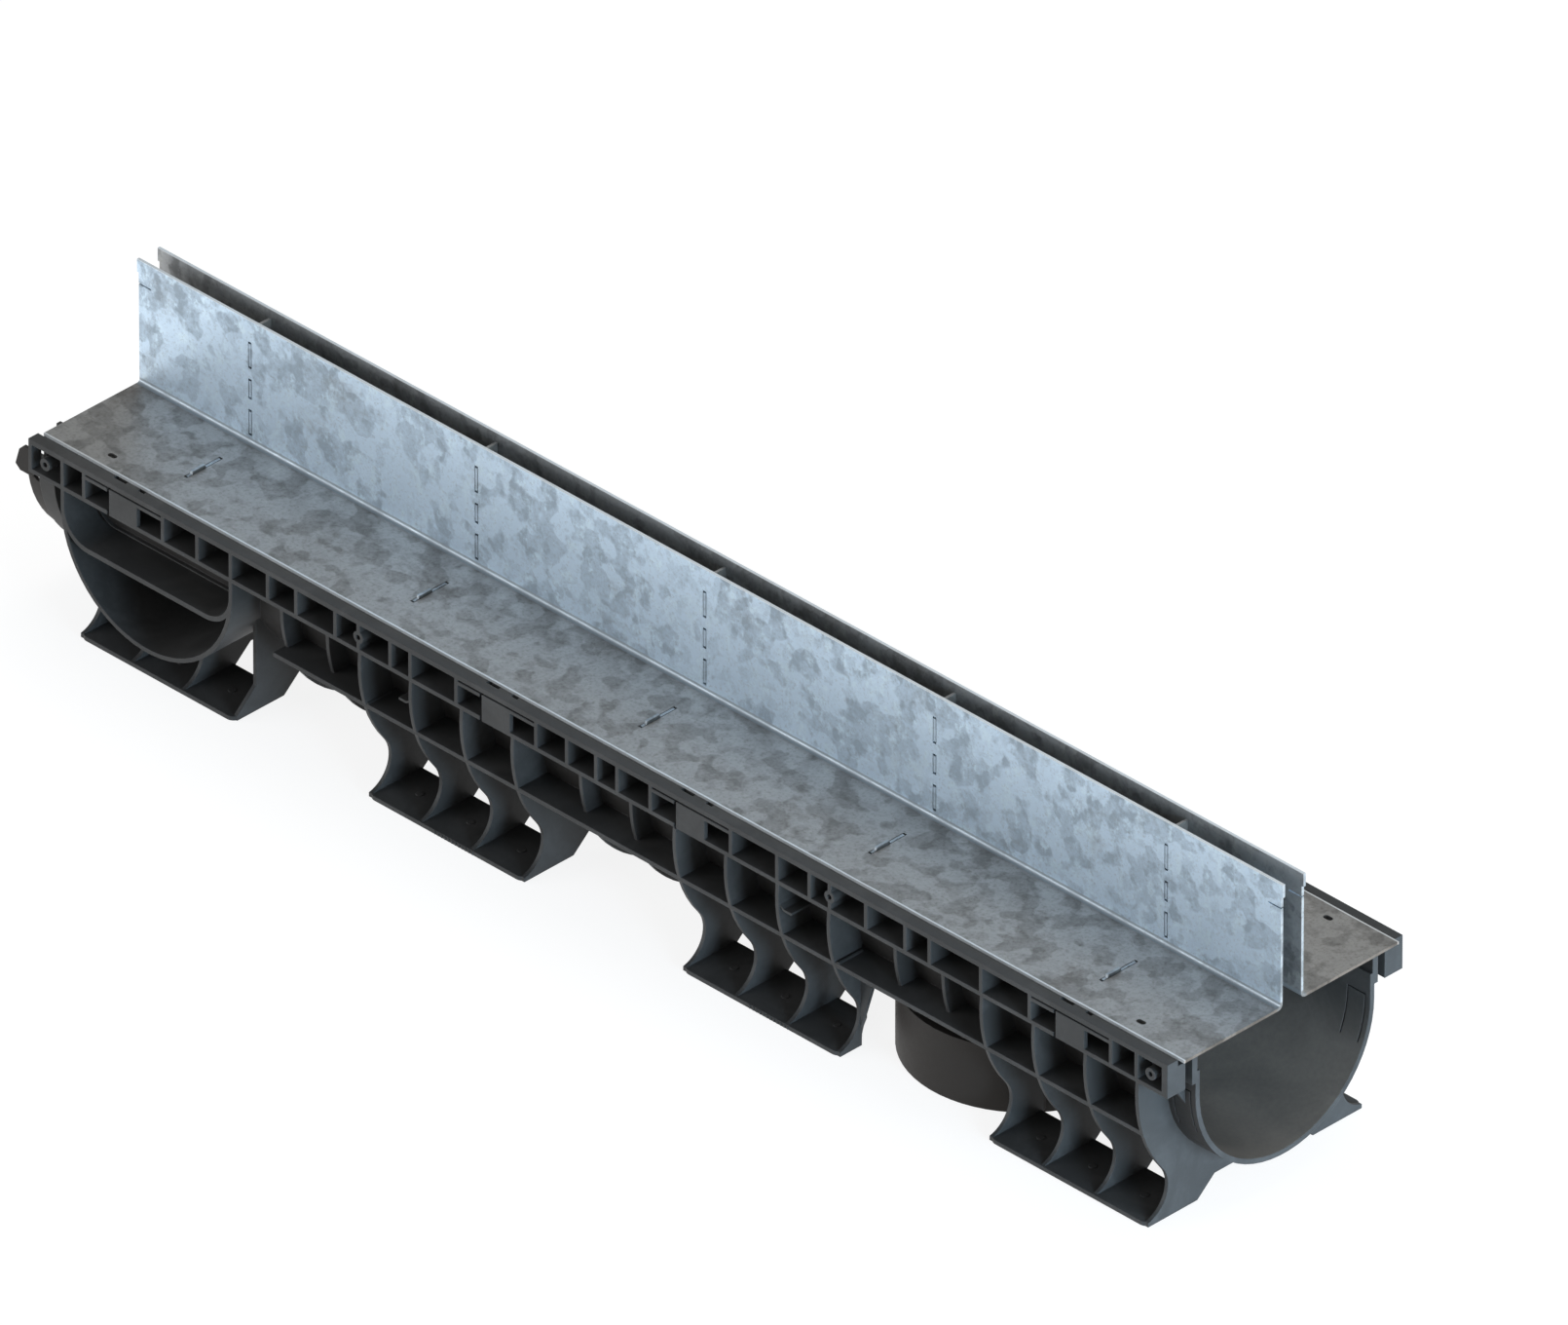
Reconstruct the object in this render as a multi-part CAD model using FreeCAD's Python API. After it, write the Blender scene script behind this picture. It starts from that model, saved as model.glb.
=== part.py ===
import FreeCAD, Part
import math
import os

# Slot-drain channel: a one-piece moulded channel body with a folded steel slot top on its rails.
# Millimetres. X runs along the channel from its socket end, Y across it, Z up from the feet.
# Until export, places along X are counted from the middle of the rails.

V = FreeCAD.Vector

# Module: channels join end to end at this pitch
MODULE = 1000.0
JOINT_GAP = 4.0

# How far a cutting shape reaches past what it cuts
OVERCUT = 1.0

# Trough: a round-bottomed U
TROUGH_WIDTH = 149.0
TROUGH_WALL = 3.5
TROUGH_FLOOR = 26.0
TROUGH_STRAIGHT = 34.5

# Rails: flat tops beside the trough with a row of pockets under them
RAIL_REACH = 24.5
RAIL_SKIN = 3.6
UPPER_LEDGE_DROP = 24.5
LOWER_LEDGE_DROP = 41.5
LEDGE = 3.0
RIB = 2.8

# Ribs in the upper pocket row, counted from the branch, the middle of the rails and the outlet
BRANCH_FILLERS = [45.0, 107.5, 132.5, 167.0, 215.5]
MIDDLE_FILLERS = [-23.0, 2.5, 21.0]
OUTLET_FILLERS = [-85.5, -36.5, -2.5, 18.5, 63.0]
END_POCKET = 24.5

# Short ribs round the trough, counted the same way
BRANCH_SHORT_RIBS = [109.0, 149.5]
MIDDLE_SHORT_RIBS = [-21.5, 22.5]
OUTLET_SHORT_RIBS = [-21.5, 20.0]
SHORT_RIB_REACH = 14.0

# Clips: a flat plate between two bars under the rail top
CLIP_LENGTH = 70.0
CLIP_PLATE = 24.6
CLIP_SKIN = 3.0
CLIP_BAR = 2.4
CLIP_SLIT = 1.5
CLIP_GAP = 2.0
INNER_CLIP_FROM_FOOT = 53.0
OUTER_CLIP_FROM_END = 84.0
CLIP_WINDOW_OFFSET = 9.5
CLIP_WINDOW_INSET = 6.3
LONG_WINDOW = 11.0
LONG_WINDOW_DEPTH = 5.0
SHORT_WINDOW = 5.6
SHORT_WINDOW_DEPTH = 2.6

# Bosses and small rods that run inwards from the outer face
BOSS_RADIUS = 4.25
BOSS_BORE_RADIUS = 1.8
BOSS_BORE_DEPTH = 14.0
BOSS_DROP = 13.0
INNER_BOSS_OFFSET = 0.9
ROD_RADIUS = 2.4
BENT_TAB_LENGTH = 10.0
BENT_TAB_SKIN = 1.6
BENT_TAB_DEPTH = 19.0
BENT_TAB_DROP = 19.0

# Feet: plates on four ribs each
FOOT_LENGTH = 137.0
FOOT_RIBS = 4
FOOT_PLATE = 3.0
FOOT_WIDTH = 44.0
FOOT_SETBACK = 8.0
FOOT_CORNER = 6.0
FIRST_FOOT_FROM_END = 104.5
BRANCH_FOOT_PITCH = 255.5
OUTLET_FOOT_GAP = 56.0
LAST_FOOT_FROM_END = 93.5

# Transverse ribs: round outer edge, then a waist above the foot
WAIST_RADIUS = 21.4
WAIST_SWEEP = 79.0
RIB_HEM = 13.0
LEG_SPREAD = 15.0

# Branch preform: a U-shaped stub for a side channel, with a shallower one inside it
BRANCH_RADIUS = 76.0
BRANCH_WALL = 3.0
BRANCH_CENTRE_DROP = 0.5
SHELF_DROP = 37.0
SHELF_SKIN = 3.5
SHELF_CORNER = 24.0
BRANCH_OUTLINE = 0.9
BRANCH_OUTLINE_GAP = 4.0
BRANCH_RIB_SETBACK = 28.0
BRANCH_RIB_TIP = 15.5

# Outlet stub: a round socketless pipe end under the trough
OUTLET_RADIUS = 80.0
OUTLET_WALL = 3.5
OUTLET_HEIGHT = 47.0
OUTLET_FROM_END = 224.0
OUTLET_CLEARANCE = 20.5
GUSSET_REACH = 18.5

# Socket end
SOCKET_LENGTH = 23.0
SOCKET_WALL = 2.5
SOCKET_CLEARANCE = 1.0
SOCKET_TOP_DROP = 3.0
COLLAR_LENGTH = 9.5
COLLAR_WALL = 3.0
SHOULDER = 4.0
STEP_SETBACK = 5.0
STEP_STRIP = 8.5
LOCK_TAB_REACH = 10.5
LOCK_TAB_HEIGHT = 19.0
LOCK_HOLE_RADIUS = 3.2
LOCK_HOLE_FROM_END = 9.0

# Plain end, which enters the next channel's socket
BLOCK_WIDTH = 15.5
BLOCK_WALL = 5.0
BLOCK_NOTCH_WIDTH = 6.5
BLOCK_NOTCH_DEPTH = 4.5
GROOVE_LENGTH = 24.0
PAD = 3.0
REBATE = 2.0
REBATE_DEPTH = 16.0
WINDOW_LENGTH = 16.0
WINDOW_FROM_END = 4.0
WINDOW_HEIGHT = 33.0
WINDOW_DROP = 7.5
WINDOW_SLIT = 1.0
WEDGE_HEIGHT = 21.0
WEDGE_REACH = 8.5

# Slot top: two folded plates
SHEET = 2.0
FOLD_RADIUS = 2.0
SLOT_START = 3.0
FLANGE_SETBACK = 9.0
SLOT_WIDTH = 16.0
UPSTAND_HEIGHT = 90.0
TONGUE_LENGTH = 1.5
TONGUE_HEIGHT = 9.5
END_SLIT_LENGTH = 11.0
END_SLIT_DROP = 17.0
END_SLIT = 1.0
SCREW_SLOT_LENGTH = 7.0
SCREW_SLOT_WIDTH = 4.0
SCREW_SLOT_FROM_END = 49.0
SCREW_SLOT_INSET = 12.0

# Spacers: cross plates tabbed through the upstands and the flanges
SPACERS = 5
SPACER_SHEET = 2.0
TAB_PLAY = 1.0
UPPER_SLOT_DROP = 16.0
UPPER_SLOT_HEIGHT = 19.6
MIDDLE_SLOT_DROP = 43.3
MIDDLE_SLOT_HEIGHT = 14.9
LOWER_SLOT_DROP = 65.9
LOWER_SLOT_HEIGHT = 19.1
WALL_TAB_PLAY = 1.5
SPACER_DROP = 6.5
WEB_CLEARANCE = 0.2
FLANGE_SLOT_LENGTH = 31.5
FLANGE_SLOT_INSET = 42.5
FLANGE_CREST_LENGTH = 13.0
FLANGE_CREST_HEIGHT = 2.0
FLANGE_CREST_INSET = 4.6
BEAM_CLEARANCE = 4.5
BEAM_DEPTH = 24.0
BEAM_END_DEPTH = 10.0
BEAM_TAPER = 30.0

# Sizes that follow from the ones above
rail_length = MODULE - JOINT_GAP
rail_end = rail_length / 2
trough_radius = TROUGH_WIDTH / 2
trough_outer_radius = trough_radius + TROUGH_WALL
trough_centre = TROUGH_FLOOR + trough_radius
wall_side = trough_outer_radius - TROUGH_WALL / 2
side = trough_outer_radius + RAIL_REACH
rail_height = trough_centre + TROUGH_STRAIGHT
pocket_top = rail_height - RAIL_SKIN
upper_ledge_z = rail_height - UPPER_LEDGE_DROP
lower_ledge_z = upper_ledge_z - LOWER_LEDGE_DROP
branch_x = -rail_end + FIRST_FOOT_FROM_END
branch_centre = trough_centre - BRANCH_CENTRE_DROP
shelf_z = upper_ledge_z - SHELF_DROP
outlet_x = rail_end - OUTLET_FROM_END
foot_outer = side - FOOT_SETBACK
foot_inner = foot_outer - FOOT_WIDTH
foot_centres = [
    branch_x,
    branch_x + BRANCH_FOOT_PITCH,
    outlet_x - OUTLET_RADIUS - OUTLET_FOOT_GAP,
    rail_end - LAST_FOOT_FROM_END,
]
foot_rib_pitch = (FOOT_LENGTH - RIB) / (FOOT_RIBS - 1)
foot_rib_offsets = [foot_rib_pitch * (i - (FOOT_RIBS - 1) / 2) for i in range(FOOT_RIBS)]
outer_clip = rail_end - OUTER_CLIP_FROM_END
clip_centres = [
    -outer_clip,
    foot_centres[1] + INNER_CLIP_FROM_FOOT,
    foot_centres[2] - INNER_CLIP_FROM_FOOT,
    outer_clip,
]
inner_bosses = [
    foot_centres[1] + foot_rib_offsets[0] - INNER_BOSS_OFFSET,
    foot_centres[2] + foot_rib_offsets[-1] + INNER_BOSS_OFFSET,
]
bent_tab_ribs = [foot_centres[1] + foot_rib_offsets[1], foot_centres[2] + foot_rib_offsets[-2]]
end_boss = rail_end - BLOCK_WALL / 2 - END_POCKET / 2
filler_ribs = [branch_x + x for x in BRANCH_FILLERS] + MIDDLE_FILLERS + [outlet_x + x for x in OUTLET_FILLERS]
short_ribs = [branch_x + x for x in BRANCH_SHORT_RIBS] + MIDDLE_SHORT_RIBS
short_ribs += [outlet_x + x for x in OUTLET_SHORT_RIBS]
socket_radius = trough_outer_radius + SOCKET_CLEARANCE
socket_outer_radius = socket_radius + SOCKET_WALL
socket_end = -rail_end - SOCKET_LENGTH
socket_top = upper_ledge_z - SOCKET_TOP_DROP
lock_tab_foot = socket_top - LOCK_TAB_HEIGHT
groove_start = rail_end - GROOVE_LENGTH
flange_top = rail_height + SHEET
slot_top_centre = -rail_end + SLOT_START + MODULE / 2
slot_top_half = MODULE / 2 - TONGUE_LENGTH
wall_inner = SLOT_WIDTH / 2
wall_outer = wall_inner + SHEET
flange_edge = side - FLANGE_SETBACK
upstand_top = flange_top + UPSTAND_HEIGHT
wall_slots = [
    (UPPER_SLOT_DROP, UPPER_SLOT_DROP + UPPER_SLOT_HEIGHT),
    (MIDDLE_SLOT_DROP, MIDDLE_SLOT_DROP + MIDDLE_SLOT_HEIGHT),
    (LOWER_SLOT_DROP, LOWER_SLOT_DROP + LOWER_SLOT_HEIGHT),
]
origin_x = (slot_top_centre + MODULE / 2 + socket_end - LOCK_TAB_REACH) / 2


def box(x0, x1, y0, y1, z0, z1):
    return Part.makeBox(x1 - x0, y1 - y0, z1 - z0, V(x0, y0, z0))


def both_sides(shapes):
    mirrored = [s.mirror(V(0, 0, 0), V(0, 1, 0)) for s in shapes]
    return list(shapes) + mirrored


def line(a, b):
    return Part.LineSegment(a, b).toShape()


def arc(a, b, c):
    return Part.Arc(a, b, c).toShape()


def extruded(edges, travel):
    return Part.Face(Part.Wire(edges)).extrude(travel)


def polygon(points, travel):
    return Part.Face(Part.makePolygon(points + points[:1])).extrude(travel)


def place_point(across, x, side_pos, z):
    """A point of an upright section: across the channel in YZ, or along it in XZ."""
    if across:
        return V(x, side_pos, z)
    return V(side_pos, x, z)


def u_prism(radius, centre_z, top_z, start, end, middle=0.0, across=True):
    """A solid U: half round below centre_z, straight sides up to top_z."""
    left = middle - radius
    right = middle + radius
    points = [
        place_point(across, start, left, top_z),
        place_point(across, start, left, centre_z),
        place_point(across, start, middle, centre_z - radius),
        place_point(across, start, right, centre_z),
        place_point(across, start, right, top_z),
    ]
    edges = [
        line(points[0], points[1]),
        arc(points[1], points[2], points[3]),
        line(points[3], points[4]),
        line(points[4], points[0]),
    ]
    travel = V(end - start, 0, 0) if across else V(0, end - start, 0)
    return extruded(edges, travel)


def rib_circle_y(z):
    """Half width of the transverse ribs' round outer edge at a height."""
    return math.sqrt(side ** 2 - (z - trough_centre) ** 2)


def rib_circle_point(x, angle):
    return V(x, side * math.cos(angle), trough_centre + side * math.sin(angle))


def rib_top():
    return upper_ledge_z + LEDGE / 2


def waist_centre():
    """Centre of the waist's arc, which touches the ribs' round outer edge from outside."""
    z = FOOT_PLATE + WAIST_RADIUS * math.sin(math.radians(WAIST_SWEEP))
    y = math.sqrt((side + WAIST_RADIUS) ** 2 - (trough_centre - z) ** 2)
    return y, z


def foot_rib(x):
    """A full rib: round outer edge, waist, foot tip, and a leg that meets the opposite one."""
    z_top = rib_top()
    y_top = rib_circle_y(z_top)
    waist_y, waist_z = waist_centre()
    angle_top = math.asin((z_top - trough_centre) / side)
    angle_knee = -math.atan2(trough_centre - waist_z, waist_y)
    sweep = math.radians(WAIST_SWEEP)
    tip_y = waist_y - WAIST_RADIUS * math.cos(sweep)
    leg_y = foot_inner - LEG_SPREAD
    start = x - RIB / 2
    knee = rib_circle_point(start, angle_knee)
    edges = [
        line(V(start, 0, z_top), V(start, y_top, z_top)),
        arc(V(start, y_top, z_top), rib_circle_point(start, (angle_top + angle_knee) / 2), knee),
        arc(knee, V(start, waist_y - WAIST_RADIUS, waist_z), V(start, tip_y, FOOT_PLATE)),
        line(V(start, tip_y, FOOT_PLATE), V(start, tip_y, 0)),
        line(V(start, tip_y, 0), V(start, foot_inner, 0)),
        line(V(start, foot_inner, 0), V(start, leg_y, RIB_HEM)),
        line(V(start, leg_y, RIB_HEM), V(start, 0, RIB_HEM)),
        line(V(start, 0, RIB_HEM), V(start, 0, z_top)),
    ]
    sides = both_sides([extruded(edges, V(RIB, 0, 0))])
    return sides[0].fuse(sides[1]).removeSplitter()


def branch_rib(x):
    """The rib beside the branch preform: its outer edge stands upright, clear of the stub."""
    z_top = rib_top()
    start = x - RIB / 2
    leg_y = foot_inner - LEG_SPREAD
    edge_y = side - BRANCH_RIB_SETBACK
    half = polygon(
        [
            V(start, 0, z_top),
            V(start, edge_y, z_top),
            V(start, edge_y, FOOT_PLATE + BRANCH_RIB_TIP),
            V(start, foot_outer - FOOT_PLATE, FOOT_PLATE),
            V(start, foot_outer - FOOT_PLATE, 0),
            V(start, foot_inner, 0),
            V(start, leg_y, RIB_HEM),
            V(start, 0, RIB_HEM),
        ],
        V(RIB, 0, 0),
    )
    sides = both_sides([half])
    return sides[0].fuse(sides[1]).removeSplitter()


def short_rib(x):
    """A rib without feet: a plain U round the trough, set back from the rails' outer faces."""
    return u_prism(trough_outer_radius + SHORT_RIB_REACH, trough_centre, rib_top(), x - RIB / 2, x + RIB / 2)


def foot_rib_places(centre):
    return [centre + offset for offset in foot_rib_offsets]


def foot_plate(centre):
    """One foot's plate on the +Y side, with its outer corners rounded."""
    plate = box(centre - FOOT_LENGTH / 2, centre + FOOT_LENGTH / 2, foot_inner, foot_outer, 0, FOOT_PLATE)
    corners = []
    for edge in plate.Edges:
        upright = abs(edge.Vertexes[0].Z - edge.Vertexes[-1].Z) > FOOT_PLATE / 2
        if upright and edge.Vertexes[0].Y > (foot_inner + foot_outer) / 2:
            corners.append(edge)
    return plate.makeFillet(FOOT_CORNER, corners)


def rail():
    """The +Y rail: flat top, upper ledge and the ribs between them."""
    inner = wall_side
    parts = [
        box(-rail_end, rail_end, trough_radius, side, pocket_top, rail_height),
        box(-rail_end, rail_end, inner, side, upper_ledge_z, upper_ledge_z + LEDGE),
    ]
    places = list(filler_ribs)
    places += [branch_x - BRANCH_RADIUS + RIB / 2, branch_x + BRANCH_RADIUS - RIB / 2]
    places += bent_tab_ribs + inner_bosses
    places.append(rail_end - BLOCK_WALL / 2 - END_POCKET)
    for centre in clip_centres:
        places += [centre - CLIP_LENGTH / 2, centre + CLIP_LENGTH / 2]
    for x in places:
        parts.append(box(x - RIB / 2, x + RIB / 2, inner, side, upper_ledge_z, rail_height - RAIL_SKIN / 2))
    return parts


def clip(centre):
    """A clip on the +Y side: a plate flush with the outer face, held by two thin bars."""
    skin_y = side - CLIP_SKIN
    top = pocket_top - CLIP_SLIT
    half = CLIP_LENGTH / 2
    return [
        box(centre - CLIP_PLATE / 2, centre + CLIP_PLATE / 2, skin_y, side, upper_ledge_z, top),
        box(centre - half, centre + half, skin_y, side, top - CLIP_BAR, top),
    ]


def clip_gap(centre):
    """The gap that frees one end of a clip's plate from the bar and the ledge beside it."""
    x = centre - CLIP_PLATE / 2
    low = upper_ledge_z - OVERCUT
    high = pocket_top - CLIP_SLIT + OVERCUT
    return box(x - CLIP_GAP, x, side - CLIP_SKIN, side + OVERCUT, low, high)


def clip_windows(centre):
    """Two small recesses in the rail top over a clip, a long and a short one, under the flange's edge."""
    end = side - CLIP_WINDOW_INSET
    cuts = []
    for x, length, depth in (
        (centre - CLIP_WINDOW_OFFSET, LONG_WINDOW, LONG_WINDOW_DEPTH),
        (centre + CLIP_WINDOW_OFFSET, SHORT_WINDOW, SHORT_WINDOW_DEPTH),
    ):
        half = length / 2
        cuts.append(box(x - half, x + half, end - depth, end, pocket_top - OVERCUT, rail_height + OVERCUT))
    return cuts


def boss_places():
    return [-end_boss] + inner_bosses + [end_boss]


def boss(x):
    centre_z = rail_height - BOSS_DROP
    return Part.makeCylinder(BOSS_RADIUS, side - wall_side, V(x, wall_side, centre_z), V(0, 1, 0))


def boss_bore(x):
    centre_z = rail_height - BOSS_DROP
    start = V(x, side + OVERCUT, centre_z)
    return Part.makeCylinder(BOSS_BORE_RADIUS, BOSS_BORE_DEPTH + OVERCUT, start, V(0, -1, 0))


def ledge_rods():
    """Small rods on the lower ledge, beside the ribs that carry the inner bosses."""
    end_y = rib_circle_y(lower_ledge_z)
    height = lower_ledge_z + LEDGE / 2
    rods = []
    for x in inner_bosses:
        rods.append(
            Part.makeCylinder(ROD_RADIUS, end_y - wall_side, V(x + ROD_RADIUS, wall_side, height), V(0, 1, 0))
        )
    return rods


def bent_tab(root, direction):
    """A thin bent tab that leaves a rib of the second pocket row towards one end."""
    reach = direction * (RIB / 2 + BENT_TAB_LENGTH)
    bend = direction * (RIB / 2 + BENT_TAB_LENGTH / 3)
    rise = BENT_TAB_LENGTH / 3
    low = upper_ledge_z - BENT_TAB_DROP
    outer = rib_circle_y(low) - OVERCUT
    points = [
        V(root, outer, low + rise),
        V(root + bend, outer, low),
        V(root + reach, outer, low),
        V(root + reach, outer, low + BENT_TAB_SKIN),
        V(root + bend, outer, low + BENT_TAB_SKIN),
        V(root, outer, low + BENT_TAB_SKIN + rise),
    ]
    return polygon(points, V(0, -BENT_TAB_DEPTH, 0))


def lower_ledge():
    """The +Y lower ledge, from the first short rib to the last foot's last rib."""
    start = short_ribs[0] - RIB / 2
    end = foot_rib_places(foot_centres[-1])[-1] + RIB / 2
    outer = rib_circle_y(lower_ledge_z + LEDGE / 2)
    low = lower_ledge_z
    inner = math.sqrt(wall_side ** 2 - (trough_centre - low) ** 2)
    return box(start, end, inner, outer, low, low + LEDGE)


def branch_prism(inset):
    """The branch's U through the whole width, smaller all round by inset."""
    top = upper_ledge_z + LEDGE / 2
    return u_prism(
        BRANCH_RADIUS - inset, branch_centre, top, -side, side, middle=branch_x, across=False
    )


def shelf_prism(inset, foot):
    """The shallower branch's rounded outline through the whole width."""
    half = BRANCH_RADIUS - inset
    corner = SHELF_CORNER - inset
    top = upper_ledge_z + LEDGE / 2
    solid = box(branch_x - half, branch_x + half, -side, side, foot, top)
    edges = []
    for edge in solid.Edges:
        ends = edge.Vertexes
        if all(v.Z < foot + 0.01 for v in ends) and abs(ends[0].X - ends[1].X) < 0.01:
            edges.append(edge)
    return solid.makeFillet(corner, edges)


def branch_preform():
    shell = branch_prism(0).cut(branch_prism(BRANCH_WALL))
    shelf = shelf_prism(0, shelf_z).cut(shelf_prism(BRANCH_WALL, shelf_z + SHELF_SKIN))
    inset = BRANCH_WALL + BRANCH_OUTLINE_GAP
    foot = shelf_z + SHELF_SKIN + BRANCH_OUTLINE_GAP
    outline = shelf_prism(inset, foot).cut(shelf_prism(inset + BRANCH_OUTLINE, foot + BRANCH_OUTLINE))
    near_wall = trough_outer_radius + BRANCH_OUTLINE
    strip = box(branch_x - BRANCH_RADIUS, branch_x + BRANCH_RADIUS, -near_wall, near_wall, foot, rib_top())
    return [shell, shelf.common(branch_prism(0)), outline.common(strip)]


def outlet_cylinder(radius, bottom, top):
    return Part.makeCylinder(radius, top - bottom, V(outlet_x, 0, bottom), V(0, 0, 1))


def outlet_gusset():
    """A slim upright fin between the inner edge of the third foot's last rib and the lower ledge."""
    rib_x = foot_rib_places(foot_centres[2])[-1]
    clear = OUTLET_RADIUS + OUTLET_CLEARANCE
    y = math.sqrt(clear ** 2 - (outlet_x - rib_x) ** 2)
    points = [
        V(rib_x, y, RIB_HEM),
        V(rib_x + RIB / 2, y, RIB_HEM),
        V(rib_x + GUSSET_REACH, y, lower_ledge_z + LEDGE / 2),
        V(rib_x, y, lower_ledge_z + LEDGE / 2),
    ]
    return polygon(points, V(0, RIB, 0))


def socket():
    """The socket round the next channel's plain end: shell, collar and shoulder ring."""
    shell = u_prism(socket_outer_radius, trough_centre, socket_top, socket_end, -rail_end + SHOULDER)
    collar = u_prism(
        socket_outer_radius + COLLAR_WALL,
        trough_centre,
        socket_top,
        -rail_end - COLLAR_LENGTH,
        -rail_end + SHOULDER,
    )
    return [shell, collar]


def socket_hollow():
    return u_prism(socket_radius, trough_centre, rail_height, socket_end - OVERCUT, -rail_end)


def lock_tab():
    """The +Y locking tab, which clips behind the next channel's springy window."""
    tip = socket_end - LOCK_TAB_REACH
    slope = LOCK_TAB_REACH / 3
    points = [
        V(-rail_end, socket_radius, lock_tab_foot),
        V(socket_end - LOCK_TAB_REACH * 0.6, socket_radius, lock_tab_foot),
        V(tip, socket_radius, lock_tab_foot + slope),
        V(tip + slope, socket_radius, socket_top - slope),
        V(tip + 2 * slope, socket_radius, socket_top),
        V(-rail_end, socket_radius, socket_top),
    ]
    return polygon(points, V(0, SOCKET_WALL, 0))


def lock_hole():
    x = socket_end + LOCK_HOLE_FROM_END
    depth = 2 * SOCKET_WALL
    return Part.makeCylinder(
        LOCK_HOLE_RADIUS, depth, V(x, socket_radius - SOCKET_WALL / 2, lock_tab_foot + OVERCUT), V(0, 1, 0)
    )


def stepped_end():
    """Walls of the +Y pocket at the socket end, whose inner part is set back."""
    setback_x = -rail_end + STEP_SETBACK
    strip_y = side - STEP_STRIP
    low = upper_ledge_z
    top = rail_height - RAIL_SKIN / 2
    return [
        box(-rail_end, -rail_end + RIB, strip_y - RIB, side, low, top),
        box(-rail_end, setback_x + RIB, strip_y - RIB, strip_y, low, top),
        box(setback_x, setback_x + RIB, wall_side, strip_y, low, top),
    ]


def stepped_end_cut():
    return box(
        -rail_end - OVERCUT,
        -rail_end + STEP_SETBACK,
        trough_outer_radius,
        side - STEP_STRIP,
        upper_ledge_z - OVERCUT,
        rail_height + OVERCUT,
    )


def plain_end():
    """The +Y block at the plain end and the thicker top of the trough wall beside it."""
    block_inner = side - BLOCK_WIDTH
    low = upper_ledge_z
    top = rail_height - RAIL_SKIN / 2
    pocket_start = rail_end - BLOCK_WALL / 2 - END_POCKET
    wedge_x = rail_end - WINDOW_FROM_END - WINDOW_LENGTH / 2
    wedge = polygon(
        [
            V(wedge_x, wall_side, upper_ledge_z - WEDGE_HEIGHT),
            V(wedge_x, trough_outer_radius + PAD + WEDGE_REACH, upper_ledge_z),
            V(wedge_x, wall_side, upper_ledge_z),
        ],
        V(RIB, 0, 0),
    )
    return [
        box(rail_end - BLOCK_WALL, rail_end, block_inner, side, low, rail_height),
        box(pocket_start, rail_end, block_inner, block_inner + RIB, low, top),
        box(groove_start, rail_end, wall_side, trough_outer_radius + PAD, low, top),
        wedge,
    ]


def plain_end_cuts():
    """The groove for the next channel's socket, the key notch, the rebate and the springy window."""
    block_inner = side - BLOCK_WIDTH
    pad_y = trough_outer_radius + PAD
    notch_z = rail_height - BLOCK_NOTCH_DEPTH
    window_end = rail_end - WINDOW_FROM_END
    window_start = window_end - WINDOW_LENGTH
    window_top = upper_ledge_z - WINDOW_DROP
    window_foot = window_top - WINDOW_HEIGHT
    y0 = trough_radius / 2
    end = rail_end + OVERCUT
    inner = trough_radius - OVERCUT
    top = rail_height + OVERCUT
    cuts = [
        box(groove_start, end, pad_y, block_inner, upper_ledge_z - OVERCUT, top),
        box(rail_end - BLOCK_WALL, end, inner, block_inner + BLOCK_NOTCH_WIDTH, notch_z, top),
        box(groove_start, end, inner, block_inner, notch_z, top),
        box(groove_start, end, inner, trough_radius + REBATE, rail_height - REBATE_DEPTH, top),
        box(window_start, window_end, y0, pad_y, window_top - WINDOW_SLIT, window_top),
    ]
    for x in (window_start, window_end - WINDOW_SLIT):
        cuts.append(box(x, x + WINDOW_SLIT, y0, pad_y, window_foot, window_top))
    notch_radius = BLOCK_NOTCH_WIDTH / 2
    notch_end = V(rail_end - BLOCK_WALL, block_inner + notch_radius, notch_z)
    cuts.append(Part.makeCylinder(notch_radius, BLOCK_NOTCH_DEPTH + OVERCUT, notch_end))
    return cuts


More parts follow.
